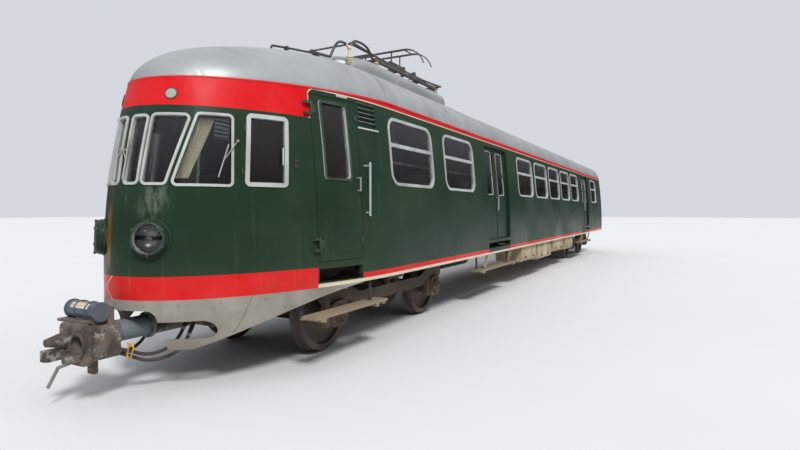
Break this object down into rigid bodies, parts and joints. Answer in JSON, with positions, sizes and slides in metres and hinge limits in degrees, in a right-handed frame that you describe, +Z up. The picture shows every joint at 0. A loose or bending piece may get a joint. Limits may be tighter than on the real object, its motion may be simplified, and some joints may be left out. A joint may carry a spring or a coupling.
{
  "type": "electric multiple unit driving motor car",
  "caption": "Streamlined driving motor car with an oval nose, hollow cab and saloon, hinged and sliding doors, roof pantograph, motored bogies and a front coupler",
  "frame": {"origin": "Middle of the bounding box in plan, at the height where the wheel flanges touch down", "axes": "+X along the car to the nose, +Y to the car's left side, +Z up"},
  "size_m": [22.95, 2.8628, 4.5334],
  "materials": {
    "body_paint": "worn gloss",
    "cream_paint": "weathered satin",
    "white_paint": "worn satin",
    "roof_paint": "dull",
    "bogie_paint": "dusty",
    "rust_paint": "rusty",
    "wheel_steel": "worn",
    "roof_steel": "weathered",
    "lamp_metal": "satin",
    "rubber": "matte",
    "floor_steel": "dusty",
    "interior_panel": "varnished",
    "desk_paint": "satin",
    "seat_cloth": "worn",
    "board_wood": "weathered",
    "glass": "clear"
  },
  "bodies": {
    "car_body": {"air_reservoirs": "floor_steel", "brake_pipes": "floor_steel", "cab_shell": "body_paint", "coupler": "rust_paint", "coupler_hose_1": "rubber", "coupler_hose_2": "rubber", "coupler_hose_3": "rubber", "driver_desk": "desk_paint", "driver_seat": "seat_cloth", "equipment_boxes": "cream_paint", "footboards": "board_wood", "front_skirt": "cream_paint", "gangway": "rubber", "grab_rails": "white_paint", "headlights": "lamp_metal", "interior_partitions": "interior_panel", "louvre_panels": "body_paint", "marker_lamps": "white_paint", "pantograph_base": "roof_steel", "rear_drawbar": "rust_paint", "rear_end_wall": "body_paint", "roof": "roof_paint", "roof_cable": "roof_steel", "roof_hump": "roof_paint", "saloon_seats": "seat_cloth", "side_wall_left": "body_paint", "side_wall_right": "body_paint", "underframe": "floor_steel", "window_frames": "cream_paint", "window_glass": "glass", "windscreen_frames": "white_paint", "windscreen_glass": "glass", "wipers": "rubber"},
    "bogie_front": {"bogie_frame_front": "bogie_paint", "traction_motors_front": "bogie_paint"},
    "bogie_rear": {"bogie_frame_rear": "bogie_paint", "traction_motors_rear": "bogie_paint"},
    "cab_door_left": {"cab_door_left": "body_paint"},
    "cab_door_right": {"cab_door_right": "body_paint"},
    "door_1_left_front": {"door_1_left_front": "body_paint"},
    "door_1_left_rear": {"door_1_left_rear": "body_paint"},
    "door_1_right_front": {"door_1_right_front": "body_paint"},
    "door_1_right_rear": {"door_1_right_rear": "body_paint"},
    "door_2_left_front": {"door_2_left_front": "body_paint"},
    "door_2_left_rear": {"door_2_left_rear": "body_paint"},
    "door_2_right_front": {"door_2_right_front": "body_paint"},
    "door_2_right_rear": {"door_2_right_rear": "body_paint"},
    "pantograph_head": {"pantograph_head": "roof_steel"},
    "pantograph_lower_front": {"pantograph_lower_front": "roof_steel"},
    "pantograph_lower_rear": {"pantograph_lower_rear": "roof_steel"},
    "pantograph_upper_front": {"pantograph_upper_front": "roof_steel"},
    "pantograph_upper_rear": {"pantograph_upper_rear": "roof_steel"},
    "wheelset_1": {"wheelset_1": "wheel_steel"},
    "wheelset_2": {"wheelset_2": "wheel_steel"},
    "wheelset_3": {"wheelset_3": "wheel_steel"},
    "wheelset_4": {"wheelset_4": "wheel_steel"}
  },
  "joints": [
    {"name": "bogie_front_turn", "type": "hinge", "parent": "car_body", "child": "bogie_front", "pos_m": [7.275, 0, 0.85], "axis": [0, 0, 1], "range_deg": [-3, 3]},
    {"name": "bogie_rear_turn", "type": "hinge", "parent": "car_body", "child": "bogie_rear", "pos_m": [-7.825, 0, 0.85], "axis": [0, 0, 1], "range_deg": [-3, 3]},
    {"name": "wheelset_1_spin", "type": "hinge", "parent": "bogie_front", "child": "wheelset_1", "pos_m": [8.675, 0, 0.503], "axis": [0, 1, 0], "continuous": true},
    {"name": "wheelset_2_spin", "type": "hinge", "parent": "bogie_front", "child": "wheelset_2", "pos_m": [5.875, 0, 0.503], "axis": [0, 1, 0], "continuous": true},
    {"name": "wheelset_3_spin", "type": "hinge", "parent": "bogie_rear", "child": "wheelset_3", "pos_m": [-6.425, 0, 0.503], "axis": [0, 1, 0], "continuous": true},
    {"name": "wheelset_4_spin", "type": "hinge", "parent": "bogie_rear", "child": "wheelset_4", "pos_m": [-9.225, 0, 0.503], "axis": [0, 1, 0], "continuous": true},
    {"name": "cab_door_left_swing", "type": "hinge", "parent": "car_body", "child": "cab_door_left", "pos_m": [9.331, 1.26024, 1.398], "axis": [0, 0.085, -0.9964], "range_deg": [0, 90]},
    {"name": "cab_door_right_swing", "type": "hinge", "parent": "car_body", "child": "cab_door_right", "pos_m": [9.331, -1.26024, 1.398], "axis": [0, 0.085, 0.9964], "range_deg": [0, 90]},
    {"name": "door_1_left_front_slide", "type": "slide", "parent": "car_body", "child": "door_1_left_front", "axis": [1, 0, 0], "range_m": [0, 0.66]},
    {"name": "door_1_left_rear_slide", "type": "slide", "parent": "car_body", "child": "door_1_left_rear", "axis": [1, 0, 0], "range_m": [-0.66, 0]},
    {"name": "door_1_right_front_slide", "type": "slide", "parent": "car_body", "child": "door_1_right_front", "axis": [1, 0, 0], "range_m": [0, 0.66]},
    {"name": "door_1_right_rear_slide", "type": "slide", "parent": "car_body", "child": "door_1_right_rear", "axis": [1, 0, 0], "range_m": [-0.66, 0]},
    {"name": "door_2_left_front_slide", "type": "slide", "parent": "car_body", "child": "door_2_left_front", "axis": [1, 0, 0], "range_m": [0, 0.66]},
    {"name": "door_2_left_rear_slide", "type": "slide", "parent": "car_body", "child": "door_2_left_rear", "axis": [1, 0, 0], "range_m": [-0.66, 0]},
    {"name": "door_2_right_front_slide", "type": "slide", "parent": "car_body", "child": "door_2_right_front", "axis": [1, 0, 0], "range_m": [0, 0.66]},
    {"name": "door_2_right_rear_slide", "type": "slide", "parent": "car_body", "child": "door_2_right_rear", "axis": [1, 0, 0], "range_m": [-0.66, 0]},
    {"name": "pantograph_lower_front_turn", "type": "hinge", "parent": "car_body", "child": "pantograph_lower_front", "pos_m": [6.025, 0, 4.183], "axis": [0, -1, 0], "range_deg": [0, 45]},
    {"name": "pantograph_lower_rear_turn", "type": "hinge", "parent": "car_body", "child": "pantograph_lower_rear", "pos_m": [5.625, 0, 4.183], "axis": [0, -1, 0], "range_deg": [-45, 0]},
    {"name": "pantograph_upper_front_turn", "type": "hinge", "parent": "pantograph_lower_front", "child": "pantograph_upper_front", "pos_m": [7.39312, 0, 4.2547], "axis": [0, -1, 0], "range_deg": [-90, 0]},
    {"name": "pantograph_upper_rear_turn", "type": "hinge", "parent": "pantograph_lower_rear", "child": "pantograph_upper_rear", "pos_m": [4.25688, 0, 4.2547], "axis": [0, -1, 0], "range_deg": [0, 90]},
    {"name": "pantograph_head_turn", "type": "hinge", "parent": "pantograph_upper_front", "child": "pantograph_head", "pos_m": [6.025, 0, 4.3264], "axis": [0, -1, 0], "range_deg": [0, 45]}
  ],
  "couplings": [
    {"joint": "door_1_left_rear_slide", "follows": "door_1_left_front_slide", "ratio": -1},
    {"joint": "door_1_right_rear_slide", "follows": "door_1_right_front_slide", "ratio": -1},
    {"joint": "door_2_left_rear_slide", "follows": "door_2_left_front_slide", "ratio": -1},
    {"joint": "door_2_right_rear_slide", "follows": "door_2_right_front_slide", "ratio": -1},
    {"joint": "pantograph_lower_rear_turn", "follows": "pantograph_lower_front_turn", "ratio": -1},
    {"joint": "pantograph_upper_front_turn", "follows": "pantograph_lower_front_turn", "ratio": -2},
    {"joint": "pantograph_upper_rear_turn", "follows": "pantograph_lower_front_turn", "ratio": 2},
    {"joint": "pantograph_head_turn", "follows": "pantograph_lower_front_turn", "ratio": 1}
  ]
}
